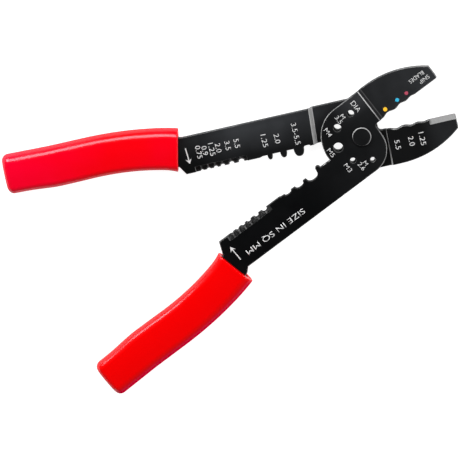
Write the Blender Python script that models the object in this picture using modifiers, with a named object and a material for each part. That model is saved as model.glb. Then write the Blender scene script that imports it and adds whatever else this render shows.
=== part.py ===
"""Wire stripper: two stamped steel levers crossing at a rivet, each with a slip-on grip.

World frame: +X along the line midway between the jaws, towards the nose; +Z out of the
front face; the rivet's axis is X = Y = 0 and its tail's flat face is Z = 0.

Lever frame, in millimetres: u along the closing line towards the nose, v away from the
other jaw, so a lever's jaw has v > 0 and its handle v < 0. The rear lever is the same
with v mirrored. All constants are in millimetres and degrees.
"""
import math

import bmesh
import bpy

MM = 0.001

# Plates and their heights above the rivet's tail face.
PLATE = 2.8
GAP = 0.3
EDGE_CHAMFER = 0.22
TAIL_HEIGHT = 0.9
WASHER_HEIGHT = 0.8
HEAD_HEIGHT = 0.9
WASHER_BOTTOM = TAIL_HEIGHT + GAP
REAR_BOTTOM = WASHER_BOTTOM + WASHER_HEIGHT + GAP
FRONT_BOTTOM = REAR_BOTTOM + PLATE + GAP
HEAD_BOTTOM = FRONT_BOTTOM + PLATE + GAP
LAYER = PLATE + GAP
HANDLE_MIDDLE = FRONT_BOTTOM + PLATE / 2

# Opening of the two closing lines at rest, and where the shear holes line up.
REST_OPENING = 24.4
SHEAR_OPENING = 22.0

# The closing line passes this far above the rivet's axis.
CLOSING_OFFSET = 0.7
EDGE_CLEARANCE = 0.15

# Disc and jaw outline.
DISC_RADIUS = 20.8
OUTER_EDGE = 19.4
SHOULDER_RADIUS = 17.0
HANDLE_OUTER = -19.6
THROAT_U = 9.05
THROAT_FILLET = 1.8
CORNER_RADIUS = 13.8
JAW_RADIUS = 51.4
JAW_ARC_START = 17.0
NOSE_U = 49.8
NOSE_CORNER = 0.8
CUTTER_U = 36.0
JAW_NOTCHES = ((18.3, 3.9, 0.95), (26.2, 3.4, 0.75), (32.8, 3.1, 0.5))

# Joggles: where a plate starts and ends its step to another height along the line v = 0,
# and how far that moves along u for each millimetre of the object's y.
FRONT_JAW_RAMP = (12.3, 14.5, 0.0)
REAR_JAW_RAMP = (12.3, 13.7, 0.047)
HANDLE_RAMP = (-23.3, -25.4, 0.076)
RAMP_STEPS = 6

# Handle outline: crimp row, strip notches and tang.
CRIMP_EDGE = -0.6
CRIMP_END = -52.5
STRIP_START = -54.0
CRIMP_HOLLOW = 0.15
CRIMP_HOLLOW_U = -41.0
FRONT_CRIMPS = ((-28.4, 1.35, 1.2), (-33.3, 3.5, -3.7), (-41.4, 2.6, -2.5), (-48.7, 2.1, -1.8))
REAR_CRIMPS = ((-28.7, 1.65, -1.2), (-33.3, 2.7, 3.6), (-41.4, 1.75, 2.5), (-48.6, 1.35, 2.0))
STRIPS = ((-63.8, 1.5, 1.4), (-69.0, 1.3, 1.2), (-73.8, 1.15, 0.9), (-77.5, 1.0, 0.75),
          (-81.3, 0.9, 0.6), (-84.8, 0.7, 0.45))
HEEL_U = -93.2
HANDLE_BEND_U = -89.0

# Grips follow a centre line that bends outwards: v = GRIP_V + GRIP_BEND * (u - GRIP_BEND_U)^2.
GRIP_V = -21.2
GRIP_BEND = 0.0031
GRIP_BEND_U = -142.0
GRIP_FLARE = 0.03
GRIP_FLARE_U = -160.0
GRIP_MOUTH_U = -94.6
GRIP_END_U = -186.1
GRIP_HALF = 10.35
GRIP_THICKNESS = 11.0
GRIP_ROUND = 3.8
GRIP_CORNER = 4.0
GRIP_OUTER = 0.33
MOUTH_FLARE = 1.5
MOUTH_FLARE_U = -142.0
SWELL = 0.9
SWELL_START_U = -98.0
SWELL_CREST_U = -157.0
SWELL_END_U = -177.0
GRIP_SHIFT = 1.2
TANG_START_U = -93.5
TANG_INNER = 8.4
TANG_OUTER = 7.2
TANG_END_U = -180.0
SOCKET_HALF = 8.9
SOCKET_END_U = -182.0
SOCKET_CLEARANCE = 0.35
SOCKET_CORNER = 3.0
MOUTH_TILT = 13.0

# Bolt-shear holes: diameters round one circle, and the pivot.
HOLE_CIRCLE = 13.45
HOLE_FIRST_ANGLE = 78.0
HOLE_STEP = 45.0
HOLE_DIAMETERS = (3.6, 4.1, 5.1, 3.1, 2.7)
SHANK_RADIUS = 3.0
BORE_CLEARANCE = 0.1
HEAD_RADIUS = 5.0
HEAD_CHAMFER = 0.45
TAIL_RADIUS = 4.3
WASHER_RADIUS = 6.2

# Ground facets along the cutters and the strip notches, and the cone at each notch.
CUTTER_FACET = 2.55
CUTTER_DEPTH = 2.4
STRIP_FACET = 3.0
STRIP_FACET_DEPTH = 1.3
STRIP_ZONE = (-88.0, -60.5)
NOTCH_CONE = 1.1
NOTCH_CONE_DEPTH = 2.0
CONE_SIDES = 20

# An outline's point is left out where its neighbours span less than this area, in mm^2.
STRAIGHT_AREA = 0.0005
FLAT_ANGLE = 0.0001
WELD_DISTANCE = 0.001

# Cutters reach this far past what they cut, and round pieces have this many sides.
REACH = 10.0
HOLE_SIDES = 32
SHANK_SIDES = 48

FRONT, REAR = 1, -1


def arc(u, v, radius, start, end, steps):
    """Points along an arc about (u, v), both ends included."""
    angles = [math.radians(start + (end - start) * i / steps) for i in range(steps + 1)]
    return [(u + radius * math.cos(a), v + radius * math.sin(a)) for a in angles]


def crimp_base(u):
    """Height v of the lands between the crimp features, a shallow hollow along the row."""
    share = (u - CRIMP_HOLLOW_U) / (CRIMP_END - CRIMP_HOLLOW_U)
    return CRIMP_EDGE - CRIMP_HOLLOW * (1 - share ** 2)


def strip_base(u):
    """Height v of the edge that the strip notches are cut in."""
    return -EDGE_CLEARANCE


def rounded_feature(centre, half, base, tip, steps=10, fullness=2.4):
    """Points across a rounded tooth or notch, walked towards -u, from its base to its base.

    `base` gives the height of the edge at u, and the tooth or notch reaches the height `tip`.
    """
    points = []
    for i in range(steps + 1):
        angle = math.pi * i / steps
        along = math.copysign(abs(math.cos(angle)) ** (2 / fullness), math.cos(angle))
        u = centre + half * along
        points.append((u, base(u) + (tip - base(u)) * math.sin(angle) ** (2 / fullness)))
    return points


def corners_only(points):
    """Outline without doubled points and those on a straight run between their neighbours."""
    kept = []
    for i, (u, v) in enumerate(points):
        last_u, last_v = kept[-1] if kept else points[-1]
        next_u, next_v = points[(i + 1) % len(points)]
        turn = (u - last_u) * (next_v - v) - (v - last_v) * (next_u - u)
        if abs(turn) > STRAIGHT_AREA or (u, v) == (next_u, next_v):
            kept.append((u, v))
    return kept


def grip_centre(u):
    """Height v of the grips' centre line at u."""
    bend = GRIP_BEND * max(0.0, u - GRIP_BEND_U) ** 2
    return GRIP_V + bend - GRIP_FLARE * max(0.0, GRIP_FLARE_U - u)


def outer_growth(u):
    """How much further out a grip's outer side stands, most of all at its mouth."""
    flare = max(0.0, (u - MOUTH_FLARE_U) / (GRIP_MOUTH_U - MOUTH_FLARE_U)) ** 1.6
    return GRIP_OUTER + MOUTH_FLARE * flare


def inner_growth(u):
    """How much further in a grip's inner side stands, at the swell under the fingers."""
    foot = SWELL_START_U if u > SWELL_CREST_U else SWELL_END_U
    share = min(1.0, max(0.0, (u - foot) / (SWELL_CREST_U - foot)))
    return SWELL * share * share * (3 - 2 * share)


def beside_grip_centre(u, offset):
    """Point beside the centre line, offset along its normal towards +v."""
    slope = grip_centre(u + 0.5) - grip_centre(u - 0.5)
    length = math.hypot(1.0, slope)
    return u - offset * slope / length, grip_centre(u) + offset / length


def grip_line(start, end, offset, steps=14):
    """Points beside the grips' centre line from u = start to u = end."""
    return [beside_grip_centre(start + (end - start) * i / steps, offset) for i in range(steps + 1)]


def jaw_edge(steps=28):
    """Inner edge of a jaw, from the throat to the cutter, with its shallow crimp notches."""
    points = []
    start = THROAT_U + THROAT_FILLET
    for i in range(1, steps + 1):
        u = start + (CUTTER_U - start) * i / steps
        v = EDGE_CLEARANCE
        for centre, half, depth in JAW_NOTCHES:
            reach = min(1.0, abs(u - centre) / half)
            v += depth * (1 + math.cos(math.pi * reach)) / 2
        points.append((u, v))
    return points


def lever_outline(crimps, side):
    """Closed outline of a lever, walked counter-clockwise from the nose's inner corner."""
    shift = -side * GRIP_SHIFT
    corner = NOSE_CORNER
    points = arc(NOSE_U - corner, EDGE_CLEARANCE + corner, corner, -90, 0, 3)
    jaw_end = math.degrees(math.acos((NOSE_U - JAW_ARC_START) / JAW_RADIUS))
    points += arc(JAW_ARC_START, OUTER_EDGE - JAW_RADIUS, JAW_RADIUS, jaw_end, 90, 12)
    # The shoulder touches both the straight outer edge and the disc.
    shoulder_v = OUTER_EDGE - SHOULDER_RADIUS
    shoulder_u = -math.sqrt((DISC_RADIUS - SHOULDER_RADIUS) ** 2 - shoulder_v ** 2)
    disc_start = math.degrees(math.atan2(shoulder_v, shoulder_u))
    disc_end = 180 - math.degrees(math.asin(CRIMP_EDGE / DISC_RADIUS))
    points += arc(shoulder_u, shoulder_v, SHOULDER_RADIUS, 90, disc_start, 8)
    points += arc(0, 0, DISC_RADIUS, disc_start, disc_end, 8)[1:]
    for centre, half, tip in crimps:
        points += rounded_feature(centre, half, crimp_base, tip)
    points += [(CRIMP_END, CRIMP_EDGE), (STRIP_START, -EDGE_CLEARANCE)]
    for centre, half, depth in STRIPS:
        points += rounded_feature(centre, half, strip_base, -EDGE_CLEARANCE - depth, 6)
    points += [(HEEL_U, -EDGE_CLEARANCE)]
    tang = grip_line(TANG_START_U, TANG_END_U, TANG_INNER)
    tang += grip_line(TANG_END_U, TANG_START_U, -TANG_OUTER)
    points += [(u, v + shift) for u, v in tang]
    points += [(HANDLE_BEND_U, HANDLE_OUTER)]
    turn_u = THROAT_U - CORNER_RADIUS
    points += arc(turn_u, HANDLE_OUTER + CORNER_RADIUS, CORNER_RADIUS, -90, 0, 12)
    fillet = THROAT_FILLET
    points += arc(THROAT_U + fillet, EDGE_CLEARANCE - fillet, fillet, 180, 90, 4)
    points += jaw_edge()
    offset = side * CLOSING_OFFSET
    return [(u, side * (v + offset)) for u, v in corners_only(points)]


def grip_outline(half, end_u, corner, side, growth=1.0):
    """Outline about the grips' centre line, square at the mouth side and round at the end."""
    shift = side * (CLOSING_OFFSET - GRIP_SHIFT)
    start, end = GRIP_MOUTH_U + REACH, end_u + corner
    inner = [(u, v + growth * inner_growth(u)) for u, v in grip_line(start, end, half, 28)]
    outer = [(u, v - growth * outer_growth(u)) for u, v in grip_line(end, start, -half, 28)]
    u, v = inner[-1]
    far = arc(u, v - corner, corner, 90, 180, 4)
    u, v = outer[0]
    far += arc(u, v + corner, corner, 180, 270, 4)
    points = inner[:-1] + far + outer[1:]
    return [(u, side * (v + shift)) for u, v in corners_only(points)]


def new_collection(name):
    collection = bpy.data.collections.new(name)
    bpy.context.scene.collection.children.link(collection)
    return collection


def flat_plate(name, outline, thickness, bevel, steps, inset):
    """Mesh of a filled 2D outline, with its edges bevelled or rounded."""
    curve = bpy.data.curves.new(name, "CURVE")
    curve.dimensions = "2D"
    curve.fill_mode = "BOTH"
    curve.extrude = (thickness / 2 - bevel) * MM
    curve.bevel_depth = bevel * MM
    curve.bevel_resolution = steps
    curve.offset = -inset * MM
    spline = curve.splines.new("POLY")
    spline.points.add(len(outline) - 1)
    for point, (u, v) in zip(spline.points, outline):
        point.co = (u * MM, v * MM, 0.0, 1.0)
    spline.use_cyclic_u = True
    holder = bpy.data.objects.new(name + "_outline", curve)
    bpy.context.scene.collection.objects.link(holder)
    graph = bpy.context.evaluated_depsgraph_get()
    mesh = bpy.data.meshes.new_from_object(holder.evaluated_get(graph))
    bpy.data.objects.remove(holder)
    mesh.name = name
    weld(mesh)
    return mesh


def weld(mesh):
    """Join a mesh's loose caps to its sides, each cap one face, and turn all faces outwards."""
    bm = bmesh.new()
    bm.from_mesh(mesh)
    bmesh.ops.remove_doubles(bm, verts=bm.verts, dist=WELD_DISTANCE * MM)
    bmesh.ops.dissolve_limit(bm, verts=bm.verts, edges=bm.edges, angle_limit=FLAT_ANGLE)
    bmesh.ops.recalc_face_normals(bm, faces=bm.faces)
    bm.to_mesh(mesh)
    bm.free()


def joggle(mesh, ramps):
    """Step a plate in height. Each ramp is (start, end, slant) and a rise, away from the disc."""
    bm = bmesh.new()
    bm.from_mesh(mesh)
    for (start, end, slant), rise in ramps:
        for i in range(RAMP_STEPS + 1):
            u = start + (end - start) * i / RAMP_STEPS
            everything = bm.verts[:] + bm.edges[:] + bm.faces[:]
            bmesh.ops.bisect_plane(bm, geom=everything, dist=WELD_DISTANCE * MM,
                                   plane_co=(u * MM, 0, 0), plane_no=(1, -slant, 0))
    for vert in bm.verts:
        for (start, end, slant), rise in ramps:
            along = ((vert.co.x - slant * vert.co.y) / MM - start) / (end - start)
            step = round(min(1.0, max(0.0, along)) * RAMP_STEPS, 4)
            whole = min(int(step), RAMP_STEPS - 1)
            low, high = ramp_share(whole / RAMP_STEPS), ramp_share((whole + 1) / RAMP_STEPS)
            vert.co.z += (low + (high - low) * (step - whole)) * rise * MM
    bm.to_mesh(mesh)
    bm.free()


def ramp_share(along):
    """How much of a joggle's rise is done at a share of its length: an S with two bends."""
    return along * along * (3 - 2 * along)


def add_object(name, mesh, collection, parent, height):
    """Put a mesh in a collection, under a parent, at a height in millimetres."""
    item = bpy.data.objects.new(name, mesh)
    item.parent = parent
    item.location.z = height * MM
    collection.objects.link(item)
    return item


def cut(item, cutter):
    """Take a cutter away from an object."""
    cutter.hide_render = True
    cutter.display_type = "WIRE"
    modifier = item.modifiers.new(cutter.name, "BOOLEAN")
    modifier.operation = "DIFFERENCE"
    modifier.solver = "EXACT"
    modifier.object = cutter


def cylinder_cutter(name, u, v, radius, collection, parent, sides=HOLE_SIDES):
    """Upright cylinder through both plates."""
    mesh = bpy.data.meshes.new(name)
    bm = bmesh.new()
    depth = 2 * (PLATE + LAYER + REACH)
    bmesh.ops.create_cone(bm, cap_ends=True, segments=sides, depth=depth * MM,
                          radius1=radius * MM, radius2=radius * MM)
    bm.to_mesh(mesh)
    bm.free()
    item = add_object(name, mesh, collection, parent, REAR_BOTTOM)
    item.location.x = u * MM
    item.location.y = v * MM
    return item


def cone_cutter(name, u, v, low, high, face, collection, parent):
    """Upright cone of radius `high` at a plate's face and `low` at NOTCH_CONE_DEPTH into it."""
    mesh = bpy.data.meshes.new(name)
    bm = bmesh.new()
    bmesh.ops.create_cone(bm, cap_ends=True, segments=CONE_SIDES, depth=2 * NOTCH_CONE_DEPTH * MM,
                          radius1=low * MM, radius2=(2 * high - low) * MM)
    bm.to_mesh(mesh)
    bm.free()
    item = add_object(name, mesh, collection, parent, face)
    item.location.x = u * MM
    item.location.y = v * MM
    return item


def wedge_cutter(name, span, edge_v, toward, face, facet, depth, collection, parent):
    """Box tilted about u, which grinds a facet along an edge of a plate.

    The edge is at v = edge_v and its material lies on the other side of it from `toward`,
    +1 or -1 along v. `face` is (height, +1 or -1): the plate face that the facet starts
    from, and the way it looks. The facet starts `facet` behind the edge and is `depth`
    into the plate there.
    """
    height, looks = face
    mesh = bpy.data.meshes.new(name)
    bm = bmesh.new()
    bmesh.ops.create_cube(bm, size=1.0)
    start_u, end_u = span
    size = (end_u - start_u, 2 * REACH, REACH)
    bmesh.ops.scale(bm, verts=bm.verts, vec=[length * MM for length in size])
    bmesh.ops.translate(bm, verts=bm.verts, vec=(0, 0, looks * REACH / 2 * MM))
    bm.to_mesh(mesh)
    bm.free()
    item = add_object(name, mesh, collection, parent, height)
    item.location.x = (start_u + end_u) / 2 * MM
    item.location.y = (edge_v - toward * facet) * MM
    item.rotation_euler.x = -toward * looks * math.atan2(depth, facet)
    return item


def box_cutter(name, size, place, turn, collection, parent):
    """Box of a size, centred at a place, turned about the vertical by an angle in degrees."""
    mesh = bpy.data.meshes.new(name)
    bm = bmesh.new()
    bmesh.ops.create_cube(bm, size=1.0)
    bmesh.ops.scale(bm, verts=bm.verts, vec=[length * MM for length in size])
    bm.to_mesh(mesh)
    bm.free()
    item = add_object(name, mesh, collection, parent, place[2])
    item.location.x = place[0] * MM
    item.location.y = place[1] * MM
    item.rotation_euler.z = math.radians(turn)
    return item


def turned(name, profile, closed, collection, steps=SHANK_SIDES):
    """Body of revolution about Z, from (radius, height) points run down the outer side."""
    mesh = bpy.data.meshes.new(name)
    verts = [(radius * MM, 0, height * MM) for radius, height in profile]
    edges = [(i, i + 1) for i in range(len(verts) - 1)]
    if closed:
        edges.append((len(verts) - 1, 0))
    mesh.from_pydata(verts, edges, [])
    item = add_object(name, mesh, collection, None, 0)
    screw = item.modifiers.new("turn", "SCREW")
    screw.axis = "Z"
    screw.angle = math.tau
    screw.steps = steps
    screw.render_steps = steps
    screw.use_merge_vertices = True
    screw.merge_threshold = WELD_DISTANCE * MM
    screw.use_smooth_shade = False
    return item


def material(name, colour, roughness, metallic):
    """Principled material of one colour."""
    made = bpy.data.materials.new(name)
    made.use_nodes = True
    shader = made.node_tree.nodes["Principled BSDF"]
    shader.inputs["Base Color"].default_value = (*colour, 1.0)
    shader.inputs["Roughness"].default_value = roughness
    shader.inputs["Metallic"].default_value = metallic
    return made


def steel_material(name):
    return material(name, (0.035, 0.036, 0.04), 0.42, 0.6)


def grip_material(name):
    return material(name, (0.85, 0.005, 0.005), 0.28, 0.0)


def pivot_empty(name, angle, collection):
    """Empty on the rivet's axis, turned to one lever's closing line."""
    empty = bpy.data.objects.new(name, None)
    empty.rotation_euler.z = math.radians(angle)
    collection.objects.link(empty)
    return empty


def make_lever(name, side, crimps, bottom, ramps, first_hole, parts, cutters, parent):
    """One stamped lever: outline, joggles, pivot bore, shear holes and ground facets."""
    mesh = flat_plate(name, lever_outline(crimps, side), PLATE, EDGE_CHAMFER, 0, EDGE_CHAMFER)
    joggle(mesh, ramps)
    lever = add_object(name, mesh, parts, parent, bottom + PLATE / 2)
    lever.data.materials.append(steel_material(name))
    bore = SHANK_RADIUS + BORE_CLEARANCE
    cut(lever, cylinder_cutter(name + "_bore", 0, 0, bore, cutters, parent, SHANK_SIDES))
    for i, diameter in enumerate(HOLE_DIAMETERS):
        angle = math.radians(first_hole + i * HOLE_STEP)
        u = HOLE_CIRCLE * math.cos(angle)
        v = HOLE_CIRCLE * math.sin(angle)
        hole = cylinder_cutter(f"{name}_hole_{i + 1}", u, v, diameter / 2, cutters, parent)
        cut(lever, hole)
    offset = side * CLOSING_OFFSET
    top = HANDLE_MIDDLE + PLATE / 2
    strip_edge = side * (offset - EDGE_CLEARANCE)
    cut(lever, wedge_cutter(name + "_strip_facet", STRIP_ZONE, strip_edge, side, (top, 1),
                            STRIP_FACET, STRIP_FACET_DEPTH, cutters, parent))
    for i, (u, half, depth) in enumerate(STRIPS):
        cut(lever, cone_cutter(f"{name}_notch_{i + 1}", u, strip_edge, depth - EDGE_CLEARANCE,
                               half + NOTCH_CONE, top, cutters, parent))
    return lever


def cutter_facet(lever, side, face, cutters, parent):
    """Grind the cutting edge at a jaw's nose, from one face of the jaw."""
    edge = side * (side * CLOSING_OFFSET + EDGE_CLEARANCE)
    span = (CUTTER_U, NOSE_U + REACH)
    cut(lever, wedge_cutter(lever.name + "_cutter_facet", span, edge, -side, face,
                            CUTTER_FACET, CUTTER_DEPTH, cutters, parent))


def make_grip(name, side, parts, cutters, parent):
    """Slip-on sleeve: rounded bar, hollowed for the tang and open at its slanted mouth."""
    inner_half = GRIP_HALF - GRIP_ROUND
    outline = grip_outline(inner_half, GRIP_END_U + GRIP_ROUND, GRIP_CORNER - GRIP_ROUND, side)
    mesh = flat_plate(name, outline, GRIP_THICKNESS, GRIP_ROUND, 2, 0)
    grip = add_object(name, mesh, parts, parent, HANDLE_MIDDLE)
    grip.data.materials.append(grip_material(name))
    mouth_v = grip_centre(GRIP_MOUTH_U) + side * (CLOSING_OFFSET - GRIP_SHIFT)
    tilt = math.radians(MOUTH_TILT)
    mid_u = GRIP_MOUTH_U + REACH * math.cos(tilt)
    mid_v = mouth_v + REACH * math.sin(tilt)
    size = (2 * REACH, 2 * (GRIP_HALF + REACH), 2 * GRIP_THICKNESS)
    place = (mid_u, side * mid_v, HANDLE_MIDDLE)
    cut(grip, box_cutter(name + "_mouth", size, place, side * MOUTH_TILT, cutters, parent))
    socket = grip_outline(SOCKET_HALF, SOCKET_END_U, SOCKET_CORNER, side, 0.0)
    thickness = PLATE + 2 * SOCKET_CLEARANCE
    mesh = flat_plate(name + "_socket", socket, thickness, 0, 0, 0)
    cut(grip, add_object(name + "_socket", mesh, cutters, parent, HANDLE_MIDDLE))
    return grip


def make_rivet(parts):
    """Rivet: flat chamfered head in front, shank, and a peened tail that it rests on."""
    top = HEAD_BOTTOM + HEAD_HEIGHT
    profile = [(0, top), (HEAD_RADIUS - HEAD_CHAMFER, top), (HEAD_RADIUS, top - HEAD_CHAMFER),
               (HEAD_RADIUS, HEAD_BOTTOM), (SHANK_RADIUS, HEAD_BOTTOM),
               (SHANK_RADIUS, TAIL_HEIGHT), (TAIL_RADIUS, TAIL_HEIGHT),
               (TAIL_RADIUS, TAIL_HEIGHT / 2), (TAIL_RADIUS - TAIL_HEIGHT / 2, 0), (0, 0)]
    rivet = turned("pivot_rivet", profile, False, parts)
    rivet.data.materials.append(steel_material("pivot_rivet"))


def make_washer(parts):
    """Washer between the rear lever and the rivet's tail."""
    bore = SHANK_RADIUS + BORE_CLEARANCE
    top = WASHER_BOTTOM + WASHER_HEIGHT
    profile = [(bore, top), (WASHER_RADIUS, top), (WASHER_RADIUS, WASHER_BOTTOM), (bore, WASHER_BOTTOM)]
    washer = turned("rivet_washer", profile, True, parts)
    washer.data.materials.append(material("rivet_washer", (0.3, 0.3, 0.31), 0.35, 1.0))


def build():
    for item in list(bpy.data.objects):
        bpy.data.objects.remove(item)
    parts = new_collection("wire_stripper")
    cutters = new_collection("cutters")
    half = REST_OPENING / 2
    front_side = pivot_empty("front_side", half, parts)
    rear_side = pivot_empty("rear_side", -half, parts)

    front_ramps = [(FRONT_JAW_RAMP, -LAYER / 2)]
    front = make_lever("front_lever", FRONT, FRONT_CRIMPS, FRONT_BOTTOM, front_ramps,
                       HOLE_FIRST_ANGLE, parts, cutters, front_side)
    jaw_bottom = FRONT_BOTTOM - LAYER / 2
    cutter_facet(front, FRONT, (jaw_bottom, -1), cutters, front_side)

    rear_ramps = [(REAR_JAW_RAMP, LAYER / 2), (HANDLE_RAMP, LAYER)]
    rear = make_lever("rear_lever", REAR, REAR_CRIMPS, REAR_BOTTOM, rear_ramps,
                      HOLE_FIRST_ANGLE + SHEAR_OPENING, parts, cutters, rear_side)
    cutter_facet(rear, REAR, (jaw_bottom + PLATE, 1), cutters, rear_side)

    make_grip("front_grip", FRONT, parts, cutters, front_side)
    make_grip("rear_grip", REAR, parts, cutters, rear_side)
    make_rivet(parts)
    make_washer(parts)


build()
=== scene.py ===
"""Looks of the wire stripper: camera, studio, materials, grips and markings.

Lever frame, in millimetres: x along a lever's closing line towards the nose and y across it,
turned about the rivet by half the opening. The grips' outline is given as u and v, where v
points from the handle to the other one, so y = v for the front lever and -v for the rear.
"""
import math

import bmesh
import bpy
from mathutils import Matrix, Quaternion, Vector


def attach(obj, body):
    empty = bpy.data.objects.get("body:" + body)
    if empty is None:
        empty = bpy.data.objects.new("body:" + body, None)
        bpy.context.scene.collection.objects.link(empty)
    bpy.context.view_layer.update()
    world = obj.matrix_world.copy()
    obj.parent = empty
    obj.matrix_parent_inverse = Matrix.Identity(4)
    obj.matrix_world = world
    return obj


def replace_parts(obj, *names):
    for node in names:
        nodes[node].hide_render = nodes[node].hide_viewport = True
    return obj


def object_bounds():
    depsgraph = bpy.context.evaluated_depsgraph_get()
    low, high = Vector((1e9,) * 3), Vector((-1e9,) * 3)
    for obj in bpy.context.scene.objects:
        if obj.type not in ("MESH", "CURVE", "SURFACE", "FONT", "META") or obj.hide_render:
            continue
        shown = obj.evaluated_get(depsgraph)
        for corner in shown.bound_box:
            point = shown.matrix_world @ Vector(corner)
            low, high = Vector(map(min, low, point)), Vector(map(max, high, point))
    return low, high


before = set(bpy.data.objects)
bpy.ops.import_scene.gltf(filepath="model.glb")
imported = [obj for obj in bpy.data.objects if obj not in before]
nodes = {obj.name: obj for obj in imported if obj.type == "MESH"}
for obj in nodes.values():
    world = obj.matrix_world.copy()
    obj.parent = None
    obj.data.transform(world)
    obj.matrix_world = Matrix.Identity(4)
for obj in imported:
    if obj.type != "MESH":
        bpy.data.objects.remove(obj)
CAD_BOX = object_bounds()
MM = 0.001

# Camera: direction from the rivet's head in degrees, distance, and the middle of the view
# from the head, to the camera's right and up, and the width of the view there.
VIEW_TURN = 25.13
VIEW_TILT = 11.15
VIEW_ROLL = 0.91
VIEW_DISTANCE = 3150.0
VIEW_RIGHT = -68.8
VIEW_UP = -47.9
VIEW_WIDTH = 237.5
SENSOR = 36.0

# Surroundings: upward part of the direction, and grey.
SKY = ((0.0, 0.8), (0.05, 0.7), (0.14, 0.12), (0.6, 0.12), (0.9, 0.05), (1.0, 0.012))
FLOOR_SIZE = 20.0
FLOOR_GAP = 0.02

# Half the angle between the levers, in degrees, and the sign of each lever's turn.
HALF_OPENING = 12.2
FRONT, REAR = 1, -1

# Heights of the printed faces, rounding of the edges and thickness of the ink, in millimetres.
HANDLE_TOP = 8.2
JAW_TOP = 6.65
EDGE_ROUND = 0.45
PAINT = 0.03
INK_RELIEF = 0.01

# Way that the rivet head's painted highlight faces, its far side painted in shade, and the front
# grip's outer side with painted shade.
RIVET_LIT_SIDE = (0.77, 0.64, 0.0)
FRONT_GRIP_SHADED_SIDE = (0.0, -1.0, 0.0)

# Middles of the strip notches along a lever.
STRIP_NOTCHES = (-63.8, -69.0, -73.8, -77.5, -81.3, -84.8)


# ---------------------------------------------------------------- camera and studio

def make_camera():
    """Camera that sees the tool from above, a little from the side of the rear handle."""
    turn = (Matrix.Rotation(math.radians(-VIEW_TURN), 3, "Z")
            @ Matrix.Rotation(math.radians(-VIEW_TILT), 3, "X")
            @ Matrix.Rotation(math.radians(VIEW_ROLL), 3, "Y"))
    right, up, back = turn.col[0], turn.col[1], turn.col[2]
    head = Vector((0, 0, HANDLE_TOP * MM))
    aim = head + (right * VIEW_RIGHT + up * VIEW_UP) * MM
    place = head + back * VIEW_DISTANCE * MM
    back = (place - aim).normalized()
    right = up.cross(back).normalized()
    up = back.cross(right)
    data = bpy.data.cameras.new("camera")
    data.sensor_width = SENSOR
    data.lens = SENSOR * (place - aim).length / (VIEW_WIDTH * MM)
    data.clip_start = 0.1
    data.clip_end = 100.0
    camera = bpy.data.objects.new("camera", data)
    turned = Matrix((right, up, back)).transposed()
    camera.matrix_world = Matrix.Translation(place) @ turned.to_4x4()
    bpy.context.scene.collection.objects.link(camera)
    bpy.context.scene.camera = camera


def soft_light(name, turn, height, distance, size, power, roll=0.0):
    """Soft box, `turn` degrees round from +X and `height` above the floor, rolled by `roll`."""
    data = bpy.data.lights.new(name, "AREA")
    data.shape = "RECTANGLE"
    data.size, data.size_y = size
    data.energy = power
    light = bpy.data.objects.new(name, data)
    a, e = math.radians(turn), math.radians(height)
    toward = Vector((math.cos(a) * math.cos(e), math.sin(a) * math.cos(e), math.sin(e)))
    middle = (CAD_BOX[0] + CAD_BOX[1]) / 2
    light.location = middle + toward * distance
    light.rotation_mode = "QUATERNION"
    light.rotation_quaternion = (toward.to_track_quat("Z", "Y")
                                 @ Quaternion((0, 0, 1), math.radians(roll)))
    bpy.context.scene.collection.objects.link(light)


def make_world():
    """Surroundings: pale below and at the horizon, dark overhead."""
    world = bpy.data.worlds.new("studio")
    bpy.context.scene.world = world
    world.use_nodes = True
    tree = world.node_tree
    tree.nodes.clear()
    coords = tree.nodes.new("ShaderNodeTexCoord")
    split = tree.nodes.new("ShaderNodeSeparateXYZ")
    tree.links.new(coords.outputs["Generated"], split.inputs[0])
    ramp = tree.nodes.new("ShaderNodeValToRGB")
    tree.links.new(split.outputs["Z"], ramp.inputs[0])
    ramp.color_ramp.elements.remove(ramp.color_ramp.elements[1])
    for i, (upward, shade) in enumerate(SKY):
        element = ramp.color_ramp.elements[0] if i == 0 else ramp.color_ramp.elements.new(upward)
        element.position = upward
        element.color = (shade, shade, shade, 1.0)
    background = tree.nodes.new("ShaderNodeBackground")
    tree.links.new(ramp.outputs[0], background.inputs[0])
    out = tree.nodes.new("ShaderNodeOutputWorld")
    tree.links.new(background.outputs[0], out.inputs[0])


# ---------------------------------------------------------------- material building

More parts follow.
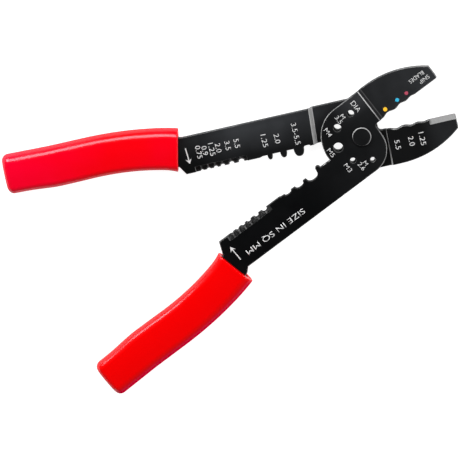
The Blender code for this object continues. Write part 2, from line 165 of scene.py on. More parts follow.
class Paint:
    """One node-based material. Lengths in its patterns are in millimetres."""

    def __init__(self, name):
        self.material = bpy.data.materials.new(name)
        self.material.use_nodes = True
        self.tree = self.material.node_tree
        self.shader = self.tree.nodes["Principled BSDF"]
        coords = self.tree.nodes.new("ShaderNodeTexCoord")
        self.facing = coords.outputs["Normal"]
        scaled = self.node("VectorMath", {"operation": "SCALE"}, Scale=1 / MM)
        self.fill(scaled, {0: coords.outputs["Object"]})
        self.place = scaled.outputs[0]

    def fill(self, node, inputs):
        """Link or set a node's inputs."""
        for key, value in inputs.items():
            socket = node.inputs[key]
            if isinstance(value, bpy.types.NodeSocket):
                self.tree.links.new(value, socket)
            else:
                socket.default_value = value

    def node(self, kind, settings=(), **inputs):
        """New node, with its settings and inputs."""
        made = self.tree.nodes.new("ShaderNode" + kind)
        for key, value in dict(settings).items():
            setattr(made, key, value)
        self.fill(made, {key.replace("_", " "): value for key, value in inputs.items()})
        return made

    def dot(self, first, second):
        """Dot product of two vectors."""
        made = self.node("VectorMath", {"operation": "DOT_PRODUCT"})
        self.fill(made, {0: first, 1: second})
        return made.outputs["Value"]

    def maths(self, operation, *values):
        """Numbers joined from the left by one operation."""
        made = values[0]
        for value in values[1:] or (0.0,):
            node = self.node("Math", {"operation": operation})
            self.fill(node, {0: made, 1: value})
            made = node.outputs[0]
        return made

    def times(self, *values):
        """Product of numbers."""
        return self.maths("MULTIPLY", *values)

    def plus(self, *values):
        """Sum of numbers."""
        return self.maths("ADD", *values)

    def most(self, *values):
        """Largest of numbers."""
        return self.maths("MAXIMUM", *values)

    def noise(self, size, detail=2.0, stretch=(1, 1, 1), roughness=0.5):
        """Noise of a size in millimetres, drawn out where `stretch` is below 1."""
        place = self.node("VectorMath", {"operation": "MULTIPLY"})
        self.fill(place, {0: self.place, 1: stretch})
        made = self.node("TexNoise", Vector=place.outputs[0], Scale=1.0 / size, Detail=detail,
                         Roughness=roughness)
        return made.outputs[0]

    def between(self, value, low, high, start=0.0, end=1.0, smooth=True):
        """`value` from low to high, given as start to end and held there."""
        kind = "SMOOTHSTEP" if smooth else "LINEAR"
        made = self.node("MapRange", {"interpolation_type": kind})
        self.fill(made, {0: value, 1: low, 2: high, 3: start, 4: end})
        return made.outputs[0]

    def band(self, value, rise, fall, top=1.0):
        """0 to 1 over `rise`, then from `top` back to 0 over `fall`, each a low and a high."""
        return self.times(self.between(value, *rise), self.between(value, *fall, top, 0.0))

    def mix(self, share, first, second):
        """Colours mixed by share."""
        made = self.node("Mix", {"data_type": "RGBA"})
        for i, value in ((0, share), (6, first), (7, second)):
            if i and not isinstance(value, bpy.types.NodeSocket):
                value = (*value, 1.0)
            self.fill(made, {i: value})
        return made.outputs[2]

    def blend(self, share, first, second):
        """Numbers mixed by share."""
        made = self.node("Mix", {"data_type": "FLOAT"})
        self.fill(made, {0: share, 2: first, 3: second})
        return made.outputs[0]

    def bump(self, height, depth, normal=None):
        """Normal of a surface raised by height, from 0 to 1, times depth."""
        made = self.node("Bump", Height=height, Strength=1.0, Distance=depth * MM)
        if normal is not None:
            self.fill(made, {"Normal": normal})
        return made.outputs[0]

    def finish(self, **inputs):
        """The material, with the shader's last inputs filled."""
        self.fill(self.shader, {key.replace("_", " "): value for key, value in inputs.items()})
        return self.material


def grey(value, warm=0.0):
    """Grey, towards red and away from blue by `warm`."""
    return (value * (1 + warm), value, value * (1 - warm))


def lever_place(paint, side):
    """Place along and across a lever, in its own frame, in millimetres."""
    turned = paint.node("VectorRotate", {"rotation_type": "Z_AXIS"}, Vector=paint.place,
                        Angle=math.radians(-side * HALF_OPENING))
    split = paint.node("SeparateXYZ")
    paint.fill(split, {0: turned.outputs[0]})
    return split.outputs[0], split.outputs[1]


# Black of the plates, its changes across them painted reflection and shade: greys, and the low
# and high ends of x and y between which they change.
FRONT_HANDLE_X, FRONT_HANDLE_GREYS = (-60.0, 5.0), (0.0026, 0.005)
FRONT_JAW_X, FRONT_JAW_GREY = (5.0, 25.0), 0.015
FRONT_NOSE_X, FRONT_NOSE_GREY = (32.0, 42.0), 0.007
PAINTED_SHEEN_X, PAINTED_SHEEN_Y = (-8.0, 9.0), (8.0, 17.0)
PAINTED_SHEEN_END_X, PAINTED_SHEEN_GREY = (12.0, 12.6), 0.016
FRONT_SHINE_X, FRONT_SHINES = (-50.0, 10.0), (0.06, 0.20)
REAR_OUTER_Y, REAR_GREYS = (3.0, 17.0), (0.004, 0.027)
REAR_GRIP_X, REAR_GRIP_SHARE = (-90.0, -68.0), 0.3
REAR_DISC_X, REAR_DISC_SHARE = (-35.0, -10.0), 0.45
REAR_NOSE_X, REAR_NOSE_GREY = (28.0, 42.0), 0.009
REAR_SHINE = 0.18
WALL_SHINE = 0.05
SPECK_GREY, SCRATCH_GREY = 0.02, 0.06

# Bare steel: greys of its brushed streaks, and of the ground blades.
BRUSHED_GREYS = (0.42, 0.56)
BLADE_GREY, BLADE_SHARE = 0.13, 0.75
BARE_ROUGHNESS, BARE_METAL = 0.5, 0.3

# Bare edges, from wear and also standing as painted edge highlights: cosine between the rounded
# normal and the face's own, radii from the rivet's middle, places along and across a lever, and
# how bare each is.
EDGE_COSINE = (0.93, 0.998)
TOP_RISE, WALL_BARE = (0.2, 0.6), 0.05
RIM_START, RIM_END = (19.2, 19.8), (21.5, 22.5)
RIM_JAW_X = (11.2, 11.8)
RIM_TOP_X, RIM_TOP_BARE = (-9.0, -2.0), 0.45
REAR_RIM_BARE = 0.3
CHAMFER_BARE = 0.8
SHOULDER_X, SHOULDER_Y, SHOULDER_START = (-6.0, -1.0), (-1.0, 1.5), (9.0, 10.0)
JAW_X, JAW_ACROSS, JAW_BARE = (15.0, 17.0), (5.0, 9.0), (0.75, 0.4)
NOSE_X, NOSE_BARE = (45.5, 47.0), 0.85
HANDLE_X, HANDLE_BARE = (-45.0, -15.0), (0.12, 0.2)
STRIP_ROW_X, STRIP_ROW_BARE = (-62.0, -60.0), 0.4
# The rivet head's edge, painted as a highlight: radii where it starts and ends, and how bright
# it is.
HEAD_EDGE_START, HEAD_EDGE_END, HEAD_HIGHLIGHT = (4.5, 4.65), (4.88, 5.0), 0.85

# Bends of the joggles, bare from rubbing and also painted as highlight lines: where the bright
# line on each starts and ends, and how bright it is.
CREST_START, CREST_END = (12.35, 12.5), (12.75, 13.0)
CREST_Y, CREST_LEAST = (1.0, 12.0), 0.35
FOOT_START, FOOT_END, FOOT_BRIGHTNESS = (14.05, 14.25), (14.5, 14.7), 0.07
REAR_CREST_X, REAR_CREST_SLANT = 13.0, 0.047
REAR_CREST_ACROSS, REAR_CREST_WIDTHS = (2.0, 17.0), (0.1, 0.42)
REAR_CREST_BLUR = 0.12
HANDLE_STEP_START, HANDLE_STEP_END = (-25.5, -25.2), (-23.5, -23.2)
HANDLE_STEP_SLANT, HANDLE_STEP_BRIGHTNESS = 0.076, 0.9

# Ground faces, and distances from the middle of a strip notch.
BLADE_X = (35.2, 35.5)
STRIP_X = (-60.4, -60.0)
NOTCH_FLOOR, NOTCH_WALL, NOTCH_WALL_SHARE = (0.3, 0.6), (1.1, 1.6), 0.1
TOOTH_ACROSS, TOOTH_SHARE = (1.6, 2.3), 0.3

# Upward part of a face's normal, without sign, on the ground facets and on upright walls.
FACET_RISE, FACET_FALL = (0.60, 0.66), (0.80, 0.84)
WALL_RISE, WALL_FALL = (0.1, 0.2), (0.95, 0.97)
# The same on the slope of a joggle, and, with its sign, on any face that looks up.
SLOPE_RISE, UPPER_RISE = (0.93, 0.98), (0.1, 0.3)


def steel_tone(paint, side, x, y):
    """Grey of a lever's blackening, with painted reflection and shade changing along and across
    it, and its shine.
    """
    if side == FRONT:
        # Painted reflection and shade: the front plate lighter from the handle towards the jaw
        # and the nose.
        handle = paint.between(x, *FRONT_HANDLE_X, *FRONT_HANDLE_GREYS)
        tone = paint.between(x, *FRONT_JAW_X, handle, FRONT_JAW_GREY)
        nose = paint.between(x, *FRONT_NOSE_X, 0.0, FRONT_NOSE_GREY)
        # Painted highlight: a lighter patch on the disc on one side of the rivet, ending at the
        # joggle.
        painted_sheen = paint.times(paint.between(x, *PAINTED_SHEEN_X), paint.between(y, *PAINTED_SHEEN_Y),
                             paint.between(x, *PAINTED_SHEEN_END_X, PAINTED_SHEEN_GREY, 0.0))
        shine = paint.between(x, *FRONT_SHINE_X, *FRONT_SHINES)
        return paint.plus(tone, nose, painted_sheen), shine
    # Painted reflection and shade: the rear plate lighter towards its outer side and the nose,
    # darker towards the grip and the disc.
    outward = paint.between(y, *REAR_OUTER_Y, *REAR_GREYS, smooth=False)
    along = paint.times(paint.between(x, *REAR_GRIP_X, REAR_GRIP_SHARE, 1.0),
                        paint.between(x, *REAR_DISC_X, 1.0, REAR_DISC_SHARE))
    nose = paint.between(x, *REAR_NOSE_X, 0.0, REAR_NOSE_GREY)
    return paint.plus(paint.times(outward, along), nose), REAR_SHINE


def worn_and_highlit_edges(paint, side, x, y, radius, tilt, sloped, rounded):
    """How bare a lever's edges are, from wear and as painted edge highlights: found where the
    rounded normal leaves the face's own.
    """
    own = paint.node("NewGeometry").outputs["Normal"]
    edge = paint.between(paint.dot(rounded, own), *EDGE_COSINE, 1.0, 0.0)
    patchy = paint.between(paint.noise(3.5, 4.0, roughness=0.65), 0.25, 0.55, 0.4, 1.0)
    across = paint.maths("ABSOLUTE", y)
    chamfer = paint.times(sloped, paint.between(radius, *RIM_END, CHAMFER_BARE, 0.0))
    bright_edges = paint.times(paint.most(edge, chamfer), patchy,
                       paint.between(tilt, *TOP_RISE, WALL_BARE, 1.0))

    rim = paint.times(paint.band(radius, RIM_START, RIM_END),
                      paint.between(x, *RIM_JAW_X, 1.0, 0.0),
                      paint.between(x, *RIM_TOP_X, 1.0, RIM_TOP_BARE))
    if side == REAR:
        rim = paint.times(rim, REAR_RIM_BARE)
    else:
        rim = paint.most(rim, paint.times(paint.between(x, *SHOULDER_X),
                                          paint.between(y, *SHOULDER_Y, 1.0, 0.0),
                                          paint.between(radius, *SHOULDER_START)))
    jaw = paint.times(paint.between(x, *JAW_X), paint.between(across, *JAW_ACROSS, *JAW_BARE))
    jaw = paint.most(jaw, paint.between(x, *NOSE_X, 0.0, NOSE_BARE))
    handle = paint.most(paint.between(x, *HANDLE_X, *HANDLE_BARE),
                        paint.between(x, *STRIP_ROW_X, STRIP_ROW_BARE, 0.0))
    handle = paint.times(handle, paint.between(x, *RIM_JAW_X, 1.0, 0.0))
    return paint.times(bright_edges, paint.most(rim, jaw, handle))


def head_edge_highlight(paint, radius, rounded, shade):
    """Painted highlight on the edge of the rivet's head, round to the side that faces `shade`,
    with painted shade on the far side.
    """
    edge = paint.band(radius, HEAD_EDGE_START, HEAD_EDGE_END, HEAD_HIGHLIGHT)
    return paint.times(edge, paint.between(paint.dot(rounded, shade), -0.5, -0.2, 0.02, 1.0))


def rubbed_and_highlit_bends(paint, side, x, y):
    """How bare the jaw's joggle is, where its bends stand proud: bare from rubbing, and also
    painted highlight lines on the bends.
    """
    if side == FRONT:
        crest = paint.times(paint.band(x, CREST_START, CREST_END),
                            paint.between(y, *CREST_Y, CREST_LEAST, 1.0))
        return paint.most(crest, paint.band(x, FOOT_START, FOOT_END, FOOT_BRIGHTNESS))
    across = paint.maths("ABSOLUTE", y)
    place = paint.maths("SUBTRACT", x, paint.times(y, REAR_CREST_SLANT))
    width = paint.between(across, *REAR_CREST_ACROSS, *REAR_CREST_WIDTHS, smooth=False)
    off = paint.maths("ABSOLUTE", paint.maths("SUBTRACT", place, REAR_CREST_X))
    return paint.between(paint.maths("SUBTRACT", off, width), -REAR_CREST_BLUR, REAR_CREST_BLUR,
                         1.0, 0.0)


def strip_notches(paint, x, y, tilt):
    """How bare the strip notches are: ground grooves between darker teeth."""
    walls = paint.times(paint.between(tilt, *WALL_FALL, 1.0, 0.0),
                        paint.between(x, *STRIP_X, 1.0, 0.0), paint.between(tilt, *WALL_RISE))
    groove, gap = 0.0, 1.0
    for notch in STRIP_NOTCHES:
        off = paint.maths("ABSOLUTE", paint.maths("SUBTRACT", x, notch))
        groove = paint.most(groove, paint.between(off, *NOTCH_FLOOR, 1.0, 0.0))
        gap = paint.times(gap, paint.between(off, *NOTCH_WALL, NOTCH_WALL_SHARE, 1.0))
    across = paint.maths("ABSOLUTE", y)
    tooth = paint.times(gap, paint.between(across, *TOOTH_ACROSS, TOOTH_SHARE, 0.0))
    hatch = paint.noise(0.6, 3.0, stretch=(1.0, 0.3, 0.3))
    return paint.times(walls, paint.most(groove, tooth),
                       paint.between(hatch, 0.4, 0.65, 0.05, 0.22))


def blackened_steel(name, side, shade=None):
    """Blackened stamped steel, with painted reflection and shade in its greys, bright along its
    edges from wear that also stands as painted edge highlights, and ground along its blades.

    `shade` is the way that a part's painted edge highlight faces, its far side painted in shade,
    instead of the lever's edge wear.
    """
    paint = Paint(name)
    split = paint.node("SeparateXYZ")
    paint.fill(split, {0: paint.facing})
    tilt = paint.maths("ABSOLUTE", split.outputs[2])
    upper = paint.between(split.outputs[2], *UPPER_RISE)
    x, y = lever_place(paint, side)
    radius = paint.maths("SQRT", paint.plus(paint.times(x, x), paint.times(y, y)))
    rounded = paint.node("Bevel", {"samples": 6}, Radius=EDGE_ROUND * MM).outputs[0]
    sloped = paint.band(tilt, FACET_RISE, FACET_FALL)

    cloud = paint.noise(14.0, 3.0)
    speck = paint.noise(0.35, 3.0, roughness=0.7)
    grain = paint.noise(0.12, 2.0)
    # Greys with painted reflection and shade across the plate, then clouded at random.
    tone, shine = steel_tone(paint, side, x, y)
    tone = paint.times(tone, paint.between(cloud, 0.3, 0.7, 0.85, 1.15))
    black = paint.node("CombineColor", Red=paint.times(tone, 0.94), Green=tone,
                       Blue=paint.times(tone, 1.1)).outputs[0]
    base = paint.mix(paint.between(speck, 0.62, 0.78, 0.0, 0.25), black, grey(SPECK_GREY, -0.04))

    # Bare edges: on a lever, wear that also stands as painted edge highlights; on the rivet's
    # head, a painted highlight on one side.
    if shade is None:
        bright_edges = worn_and_highlit_edges(paint, side, x, y, radius, tilt, sloped, rounded)
    else:
        bright_edges = head_edge_highlight(paint, radius, rounded, shade)
    # Bends of the joggles, bare from rubbing and also painted as highlight lines.
    rub_and_highlight = paint.times(rubbed_and_highlit_bends(paint, side, x, y), upper)
    blade = paint.times(sloped, paint.between(x, *BLADE_X))
    strip = strip_notches(paint, x, y, tilt)
    # Slope of a handle's joggle: bare from rubbing, and also a painted highlight band.
    bend = paint.maths("SUBTRACT", x, paint.times(y, HANDLE_STEP_SLANT))
    step = paint.times(paint.band(bend, HANDLE_STEP_START, HANDLE_STEP_END),
                       paint.between(tilt, *SLOPE_RISE, HANDLE_STEP_BRIGHTNESS, 0.0), upper)
    bare = paint.most(bright_edges, rub_and_highlight, blade, strip, step)

    scratch = paint.noise(0.25, 2.0, stretch=(0.12, 1.0, 1.0))
    scratch = paint.between(scratch, 0.66, 0.78, 0.0, 0.35)
    brushed = paint.noise(0.18, 2.0, stretch=(1.0, 0.08, 0.08))
    steel = paint.mix(paint.between(brushed, 0.3, 0.7), *map(grey, BRUSHED_GREYS))
    steel = paint.mix(paint.times(blade, BLADE_SHARE), steel, grey(BLADE_GREY))
    colour = paint.mix(bare, base, steel)
    colour = paint.mix(paint.times(scratch, 0.12), colour, grey(SCRATCH_GREY))
    rough = paint.plus(paint.between(cloud, 0.3, 0.7, 0.40, 0.48),
                       paint.between(grain, 0.3, 0.7, -0.05, 0.05))
    height = paint.plus(grain, paint.times(speck, 0.7))
    return paint.finish(Base_Color=colour, Metallic=paint.times(bare, BARE_METAL),
                        Roughness=paint.blend(bare, rough, BARE_ROUGHNESS),
                        Specular_IOR_Level=paint.between(tilt, 0.05, 0.5, WALL_SHINE, shine),
                        Normal=paint.bump(height, 0.005, rounded))


def plated_steel(name):
    """Zinc-plated washer with turned rings."""
    paint = Paint(name)
    rings = paint.node("TexWave", {"wave_type": "RINGS", "rings_direction": "Z"},
                       Vector=paint.place, Scale=1.4, Distortion=0.6, Detail=2.0)
    stain = paint.noise(1.5, 3.0)
    colour = paint.mix(paint.between(stain, 0.35, 0.7), grey(0.42, 0.01), grey(0.30, 0.03))
    rough = paint.between(rings.outputs[1], 0.0, 1.0, 0.28, 0.42)
    return paint.finish(Base_Color=colour, Metallic=1.0, Roughness=rough,
                        Normal=paint.bump(rings.outputs[1], 0.01))


# Reds of the grips: near the mouth and at the far end, with the rear grip's a little darker and
# bluer as painted shade, and the red painted as shade on a grip's shaded side.
FRONT_REDS = ((0.90, 0.0, 0.0004), (0.90, 0.0, 0.0002))
REAR_REDS = ((0.86, 0.0, 0.004), (0.86, 0.0, 0.022))
SHADED_SIDE_RED = (0.80, 0.0, 0.035)
PVC_TINT = (1.0, 0.7, 0.8, 1.0)
# Distances from the rivet between which the PVC deepens, and by how much.
DEEP_REACH, DEEP_SHARE = (130.0, 185.0), 0.75
NO_SIDE = (0.0, 0.0, 0.0)


def red_pvc(name, red, deep, shaded_side=NO_SIDE):
    """Glossy soft red PVC, with a faint ripple from dipping and fine handling marks.

    On the side that faces the given way, the red is painted darker and bluer and its gloss
    turned down, as painted shade.
    """
    paint = Paint(name)
    ripple = paint.noise(9.0, 2.0)
    peel = paint.noise(0.9, 2.0)
    dust = paint.noise(0.22, 2.0)
    reach = paint.node("VectorMath", {"operation": "LENGTH"})
    paint.fill(reach, {0: paint.place})
    share = paint.plus(paint.between(paint.noise(22.0, 2.0), 0.3, 0.7, 0.0, 0.25),
                       paint.between(reach.outputs["Value"], *DEEP_REACH, 0.0, DEEP_SHARE))
    # Painted shade: the side facing the given way turns a darker, bluer red and loses gloss.
    painted_shade = paint.between(paint.dot(paint.facing, shaded_side), 0.35, 0.75)
    colour = paint.mix(painted_shade, paint.mix(share, red, deep), SHADED_SIDE_RED)
    rough = paint.plus(paint.between(ripple, 0.3, 0.7, 0.15, 0.20),
                       paint.between(dust, 0.55, 0.75, 0.0, 0.05))
    height = paint.plus(ripple, paint.times(peel, 0.015))
    rim = paint.node("LayerWeight", Blend=0.5).outputs["Facing"]
    gloss = paint.times(paint.between(rim, 0.4, 0.65, 0.5, 0.03),
                        paint.maths("SUBTRACT", 1.0, painted_shade))
    return paint.finish(Base_Color=colour, Roughness=rough, IOR=1.5, Specular_IOR_Level=gloss,
                        Specular_Tint=PVC_TINT, Normal=paint.bump(height, 0.035))


def print_paint(name, colour, dark):
    """Screen-printed ink, a little uneven where it is thin."""
    paint = Paint(name)
    patch = paint.noise(0.6, 3.0, roughness=0.7)
    cloud = paint.noise(5.0, 2.0)
    thin = paint.plus(paint.between(patch, 0.55, 0.8, 0.0, 0.6),
                      paint.between(cloud, 0.5, 0.75, 0.0, 0.2))
    rough = paint.between(patch, 0.3, 0.7, 0.45, 0.6)
    return paint.finish(Base_Color=paint.mix(thin, colour, dark), Roughness=rough,
                        Normal=paint.bump(patch, INK_RELIEF))


def floor_paint(name):
    """Plain pale studio floor."""
    paint = Paint(name)
    tone = paint.noise(300.0, 2.0)
    colour = paint.mix(paint.between(tone, 0.3, 0.7), grey(0.34), grey(0.36))
    return paint.finish(Base_Color=colour, Roughness=0.9, Emission_Strength=0.93,
                        Emission_Color=(1.0, 1.0, 1.0, 1.0))


# ---------------------------------------------------------------- meshes

def add_piece(name, mesh, material, body):
    """Make an object of a mesh and let it ride on a body."""
    mesh.materials.clear()
    mesh.materials.append(material)
    piece = bpy.data.objects.new(name, mesh)
    bpy.context.scene.collection.objects.link(piece)
    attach(piece, body)
    return piece


def lever_matrix(side, x, y, z, turn=0.0):
    """Place in a lever's frame, turned by an angle in degrees, as a world matrix."""
    return (Matrix.Rotation(math.radians(side * HALF_OPENING), 4, "Z")
            @ Matrix.Translation(Vector((x, y, z)) * MM)
            @ Matrix.Rotation(math.radians(turn), 4, "Z"))


# Grips: centre line and outline, in millimetres, with the tilt of the mouth in degrees.
GRIP_V = -21.2
GRIP_BEND = 0.0031
GRIP_BEND_U = -142.0
GRIP_FLARE = 0.03
GRIP_FLARE_U = -160.0
GRIP_SHIFT = 1.2
CLOSING_OFFSET = 0.7
MOUTH_U = -94.6
END_U = -185.6
HALF_WIDTH = 10.35
HALF_THICK = 5.5
MOUTH_TILT = 13.0
OUTER_GROWTH = 0.33
MOUTH_FLARE = 1.5
MOUTH_FLARE_U = -142.0
LIP_FLARE = 0.8
LIP_FLARE_U = -102.0
SWELL = 0.9
SWELL_START_U = -98.0
SWELL_CREST_U = -157.0
SWELL_END_U = -177.0
# Rounding of a grip's inner and outer side: across, up, and how full it is.
INNER_ROUND = (4.0, 4.6, 2.0)
OUTER_ROUND = (5.2, 5.2, 1.9)
CROWN = 0.2
END_CORNER = 3.5
END_ROUND = 3.2
SOCKET_WIDE = 8.9
SOCKET_THICK = 1.75
SOCKET_ROUND = (1.2, 1.2, 2)
SOCKET_DEPTH = 25.0
SOCKET_EDGE = 0.3
MOUTH_FLARE_POWER = 1.6
MOUTH_TILT_U = -110.0
LIP = 0.4
LIP_START = 0.12
LIP_WIDTH = 0.2
LEAST_SIDE = 0.05
SLEEVE_STEPS = 56
END_STEPS = 9
HANDLE_MIDDLE = 6.8


def grip_centre(u):
    """Height v of the grips' centre line at u."""
    bend = GRIP_BEND * max(0.0, u - GRIP_BEND_U) ** 2
    return GRIP_V + bend - GRIP_FLARE * max(0.0, GRIP_FLARE_U - u)


def grip_section(wide, thick, inner, outer, crown=0.0, per_side=14, flat=8):
    """Points (across, up) round a grip.

    `wide` and `thick` are half sizes. `inner` and `outer` are the sizes, across and up, and
    the fullness of the rounding on the two sides. The flats between them are crowned.
    """
    def corner(sign):
        """Quarter of the outline, from the middle of the inner or outer side to the flat."""
        across, upward, fullness = inner if sign > 0 else outer
        upward = min(upward, thick - crown - LEAST_SIDE)
        made = []
        for i in range(per_side + 1):
            angle = math.pi / 2 * i / per_side
            w = wide - across + across * math.cos(angle) ** (2 / fullness)
            z = thick - crown - upward + upward * math.sin(angle) ** (2 / fullness)
            made.append((sign * w, z))
        return made

    right, left = corner(1), corner(-1)[::-1]
    (start, z), end = right[-1], left[0][0]
    top = []
    for i in range(1, flat):
        share = i / flat
        top.append((start + (end - start) * share, z + crown * math.sin(math.pi * share)))
    half = right + top + left
    return half + [(w, -z) for w, z in half[::-1]]


def loft(name, rings, smooth):
    """Mesh through rings of points, closed at both ends."""
    mesh = bpy.data.meshes.new(name)
    bm = bmesh.new()
    rows = [[bm.verts.new(p) for p in ring] for ring in rings]
    count = len(rows[0])
    for a, b in zip(rows, rows[1:]):
        for i in range(count):
            j = (i + 1) % count
            bm.faces.new((a[i], a[j], b[j], b[i]))
    bm.faces.new(rows[0][::-1])
    bm.faces.new(rows[-1])
    bmesh.ops.recalc_face_normals(bm, faces=bm.faces)
    for face in bm.faces:
        face.smooth = smooth
    bm.to_mesh(mesh)
    bm.free()
    return mesh


def rounded_off(distance, radius):
    """How far a rounded end draws a side in, at a distance from the end."""
    if distance >= radius:
        return 0.0
    return radius - math.sqrt(radius ** 2 - (radius - distance) ** 2)


def make_grip(name, side, material, body, node):
    """Slip-on sleeve with a rounded far end, an open mouth and a lip."""
    def ring(u, inset, socket=False):
        """Ring round the sleeve at u, pulled in by inset, or round the socket in it."""
        wide = HALF_WIDTH - rounded_off(u - END_U, END_CORNER)
        thick = HALF_THICK - rounded_off(u - END_U, END_ROUND)
        outward = max(0.0, (u - MOUTH_FLARE_U) / (MOUTH_U - MOUTH_FLARE_U)) ** MOUTH_FLARE_POWER
        outward = OUTER_GROWTH + MOUTH_FLARE * outward
        lip_flare = LIP_FLARE * max(0.0, (u - LIP_FLARE_U) / (MOUTH_U - LIP_FLARE_U)) ** 2
        foot = SWELL_START_U if u > SWELL_CREST_U else SWELL_END_U
        inward = min(1.0, max(0.0, (u - foot) / (SWELL_CREST_U - foot)))
        inward = SWELL * inward * inward * (3 - 2 * inward)
        slope = grip_centre(u + 0.5) - grip_centre(u - 0.5)
        length = math.hypot(1.0, slope)
        shear = (math.tan(math.radians(MOUTH_TILT)) - slope) / length
        near = min(1.0, max(0.0, (u - MOUTH_TILT_U) / (MOUTH_U - MOUTH_TILT_U)))
        if socket:
            section = grip_section(SOCKET_WIDE, SOCKET_THICK, SOCKET_ROUND, SOCKET_ROUND)
        else:
            inner, outer = [(across - inset, upward - inset, fullness)
                            for across, upward, fullness in (INNER_ROUND, OUTER_ROUND)]
            section = grip_section(wide - inset, thick - inset, inner, outer, CROWN)
        points = []
        for w, z in section:
            if not socket:
                w += (outward if w < 0 else inward + lip_flare) * w / wide
            at_u = u - w * slope / length - w * shear * near
            at_v = grip_centre(u) + w / length + side * (CLOSING_OFFSET - GRIP_SHIFT)
            points.append((at_u * MM, side * at_v * MM, (HANDLE_MIDDLE + z) * MM))
        return points

    start = END_U + END_ROUND
    stations = []
    for i in range(END_STEPS):
        angle = math.pi / 2 * i / END_STEPS
        stations.append(END_U + END_ROUND * (1 - math.cos(angle)))
    for i in range(SLEEVE_STEPS + 1):
        stations.append(start + (MOUTH_U - LIP - start) * i / SLEEVE_STEPS)
    rings = [ring(u, 0.0) for u in stations]
    rings.append(ring(MOUTH_U - LIP_START, LIP_START))
    rings += [ring(MOUTH_U, inset) for inset in (LIP, LIP + LIP_WIDTH)]
    rings += [ring(MOUTH_U - depth, 0.0, True) for depth in (0.0, SOCKET_EDGE, SOCKET_DEPTH)]
    mesh = loft("loft", rings, True)
    mesh.transform(lever_matrix(side, 0, 0, 0))
    mesh.update()
    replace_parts(add_piece(name, mesh, material, body), node)


# ---------------------------------------------------------------- markings

ARROW_SHAFT = 0.55
ARROW_HEAD_LENGTH = 2.7
ARROW_HEAD_WIDTH = 3.1
ARROW_BARB = 0.8
# Letters' points closer than this, in metres, are one.
SAME_POINT = 1e-7
# A dot's rings, from its foot to its top: share of its radius, and share of its height.
DOT_RINGS = ((1.0, 0.0), (0.985, 0.6), (0.94, 0.9), (0.8, 1.0), (0.4, 1.05))
DOT_HEIGHT = 0.05
DOT_SIDES = 40


def raised(bm, mesh):
    """Give flat faces the thickness of the paint, and put them in a mesh."""
    made = bmesh.ops.extrude_face_region(bm, geom=bm.faces[:])
    for item in made["geom"]:
        if isinstance(item, bmesh.types.BMVert):
            item.co.z = PAINT * MM
    bmesh.ops.recalc_face_normals(bm, faces=bm.faces)
    bm.to_mesh(mesh)
    bm.free()
    return mesh


def text_mesh(text, length, height, weight):
    """Flat raised letters, centred, filling a length and a height in millimetres."""
    curve = bpy.data.curves.new("text", "FONT")
    curve.body = text
    curve.size = 1.0
    curve.offset = weight
    curve.extrude = 0.0
    holder = bpy.data.objects.new("text", curve)
    bpy.context.scene.collection.objects.link(holder)
    bpy.context.view_layer.update()
    mesh = bpy.data.meshes.new_from_object(
        holder.evaluated_get(bpy.context.evaluated_depsgraph_get()))
    bpy.data.objects.remove(holder)
    xs = [v.co.x for v in mesh.vertices]
    ys = [v.co.y for v in mesh.vertices]
    middle = Vector(((min(xs) + max(xs)) / 2, (min(ys) + max(ys)) / 2, 0))
    scale = Vector((length / (max(xs) - min(xs)), height / (max(ys) - min(ys)), 1)) * MM
    for vert in mesh.vertices:
        vert.co = (vert.co - middle) * scale
    bm = bmesh.new()
    bm.from_mesh(mesh)
    bmesh.ops.remove_doubles(bm, verts=bm.verts, dist=SAME_POINT)
    return raised(bm, mesh)


def arrow_mesh(length):
    """Arrow from the origin along +X, with barbs swept back past its neck."""
    back = length - ARROW_HEAD_LENGTH
    neck = back + ARROW_BARB
    points = [(0, -ARROW_SHAFT / 2), (neck, -ARROW_SHAFT / 2), (back, -ARROW_HEAD_WIDTH / 2),
              (length, 0), (back, ARROW_HEAD_WIDTH / 2), (neck, ARROW_SHAFT / 2),
              (0, ARROW_SHAFT / 2)]
    bm = bmesh.new()
    bm.faces.new([bm.verts.new((x * MM, y * MM, 0)) for x, y in points])
    return raised(bm, bpy.data.meshes.new("arrow"))


def dot_mesh(radius):
    """Flat drop of paint with a rounded rim."""
    rows = []
    for share, height in DOT_RINGS:
        row = []
        for i in range(DOT_SIDES):
            angle = math.tau * i / DOT_SIDES
            wobble = 1 + 0.012 * math.sin(3 * angle + 0.5) + 0.008 * math.sin(5 * angle)
            r = radius * share * wobble * MM
            row.append((r * math.cos(angle), r * math.sin(angle), height * DOT_HEIGHT * MM))
        rows.append(row)
    return loft("dot", rows, False)


def joined(name, meshes):
    """One mesh of several."""
    bm = bmesh.new()
    for mesh in meshes:
        bm.from_mesh(mesh)
    made = bpy.data.meshes.new(name)
    bm.to_mesh(made)
    bm.free()
    return made


# How much the letters' strokes are thinned, in shares of their size, on each face.
HANDLE_WEIGHT, DISC_WEIGHT, JAW_WEIGHT = -0.004, -0.005, -0.006
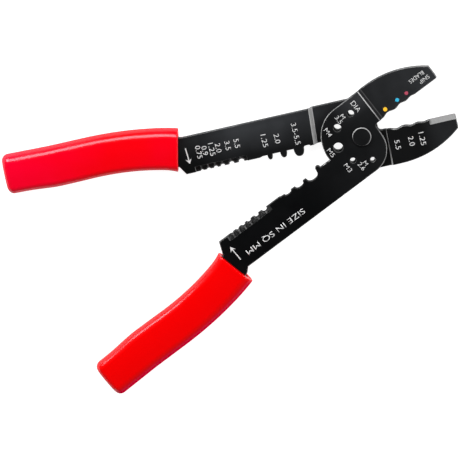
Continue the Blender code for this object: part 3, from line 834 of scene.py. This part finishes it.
# Labels: text, x, y in the lever's frame, reading direction in degrees, length, height.
FRONT_DISC_LABELS = (
    ("M", -1.5, 14.3, -90, 2.3, 2.2), ("3.5", -4.1, 14.2, -90, 4.3, 2.3),
    ("M4", -12.6, 12.2, -90, 4.7, 2.4), ("M5", -17.9, 2.8, -90, 4.7, 2.4),
    ("M3", -15.7, -8.8, -90, 4.7, 2.4),
    ("M", -7.0, -12.4, -90, 2.3, 2.2), ("2.6", -9.6, -12.5, -90, 4.3, 2.3),
    ("DIA", 7.2, 14.4, -90, 6.2, 2.6),
)
FRONT_HANDLE_LABELS = (("SIZE IN SQ MM", -66.3, -12.5, 180, 37.4, 3.5),)
FRONT_JAW_LABELS = (("SNIP", 43.9, 4.1, 180, 5.8, 2.1), ("BLADES", 41.3, 7.5, 180, 8.9, 2.1))
REAR_HANDLE_LABELS = (
    ("3.5-5.5", -33.0, 9.05, -90, 11.5, 2.7), ("2.0", -43.0, 8.74, -90, 5.0, 2.7),
    ("1.25", -49.7, 9.14, -90, 6.8, 2.7), ("5.5", -64.0, 11.0, -90, 4.8, 2.7),
    ("3.5", -68.9, 10.9, -90, 4.8, 2.7), ("2.0", -73.9, 10.8, -90, 4.8, 2.7),
    ("1.25", -77.4, 10.8, -90, 6.8, 2.7), ("0.9", -81.1, 11.0, -90, 4.8, 2.7),
    ("0.75", -84.3, 10.9, -90, 6.8, 2.7),
)
REAR_JAW_LABELS = (
    ("5.5", 17.1, -8.6, -90, 5.0, 2.7), ("2.0", 24.5, -8.4, -90, 5.0, 2.7),
    ("1.25", 30.3, -8.4, -90, 6.9, 2.7),
)
# Arrows: start and tip, x and y.
FRONT_ARROW = ((-89.8, -13.6), (-90.1, -4.8))
REAR_ARROW = ((-90.6, 14.4), (-90.2, 5.8))
# Dots: name, x, y in the front lever's frame, radius, colour, and colour where it is thin.
DOTS = (("yellow", 18.2, 3.83, 1.08, (0.93, 0.52, 0.02), (0.7, 0.35, 0.01)),
        ("blue", 26.15, 4.0, 1.02, (0.03, 0.43, 0.67), (0.02, 0.32, 0.52)),
        ("red", 32.1, 3.95, 0.96, (0.42, 0.055, 0.10), (0.26, 0.05, 0.08)))


def label_meshes(labels, side, z, weight=HANDLE_WEIGHT):
    """Meshes of labels on a lever, on the face at height z."""
    meshes = []
    for text, x, y, turn, length, height in labels:
        mesh = text_mesh(text, length, height, weight)
        mesh.transform(lever_matrix(side, x, y, z, turn))
        meshes.append(mesh)
    return meshes


def arrow_meshes(ends, side, z):
    """Mesh of an arrow on a lever, on the face at height z, in a list of its own."""
    (x, y), (tip_x, tip_y) = ends
    turn = math.degrees(math.atan2(tip_y - y, tip_x - x))
    mesh = arrow_mesh(math.hypot(tip_x - x, tip_y - y))
    mesh.transform(lever_matrix(side, x, y, z, turn))
    return [mesh]


# ---------------------------------------------------------------- build

make_camera()
make_world()
soft_light("key", turn=87.0, height=41.0, distance=1.2, size=(1.4, 0.45), power=18.3, roll=-28.0)
soft_light("left", turn=108.0, height=20.0, distance=1.3, size=(0.7, 0.45), power=5.0)
soft_light("right", turn=-20.0, height=40.0, distance=1.3, size=(1.0, 0.6), power=7.5)

floor_mesh = bpy.data.meshes.new("floor")
floor_bm = bmesh.new()
bmesh.ops.create_grid(floor_bm, x_segments=2, y_segments=2, size=FLOOR_SIZE)
floor_bm.to_mesh(floor_mesh)
floor_bm.free()
floor_mesh.materials.append(floor_paint("floor"))
floor = bpy.data.objects.new("floor", floor_mesh)
floor.location.z = CAD_BOX[0].z - FLOOR_GAP * MM
bpy.context.scene.collection.objects.link(floor)

# The rivet's steel carries a painted highlight on its head's edge, in place of edge wear.
for node, material in (("front_lever", blackened_steel("front_lever_steel", FRONT)),
                       ("rear_lever", blackened_steel("rear_lever_steel", REAR)),
                       ("pivot_rivet", blackened_steel("rivet_steel", FRONT, RIVET_LIT_SIDE)),
                       ("rivet_washer", plated_steel("washer_steel"))):
    for slot in nodes[node].material_slots:
        slot.material = material

front_pvc = red_pvc("front_grip_pvc", *FRONT_REDS, FRONT_GRIP_SHADED_SIDE)
rear_pvc = red_pvc("rear_grip_pvc", *REAR_REDS)
make_grip("front_sleeve", FRONT, front_pvc, "front_lever", "front_grip")
make_grip("rear_sleeve", REAR, rear_pvc, "rear_lever", "rear_grip")

ink = print_paint("white_ink", grey(0.70), grey(0.42))
front_print = (label_meshes(FRONT_DISC_LABELS, FRONT, HANDLE_TOP, DISC_WEIGHT)
               + label_meshes(FRONT_HANDLE_LABELS, FRONT, HANDLE_TOP)
               + label_meshes(FRONT_JAW_LABELS, FRONT, JAW_TOP, JAW_WEIGHT)
               + arrow_meshes(FRONT_ARROW, FRONT, HANDLE_TOP))
add_piece("front_print", joined("front_print", front_print), ink, "front_lever")
rear_print = (label_meshes(REAR_HANDLE_LABELS, REAR, HANDLE_TOP)
              + label_meshes(REAR_JAW_LABELS, REAR, JAW_TOP)
              + arrow_meshes(REAR_ARROW, REAR, HANDLE_TOP))
add_piece("rear_print", joined("rear_print", rear_print), ink, "rear_lever")
for colour, x, y, radius, bright, dark in DOTS:
    dot = dot_mesh(radius)
    dot.transform(lever_matrix(FRONT, x, y, JAW_TOP))
    add_piece(colour + "_dot", dot, print_paint(colour + "_ink", bright, dark),
              "front_lever")

bpy.context.scene.view_settings.view_transform = "Standard"
bpy.context.view_layer.update()
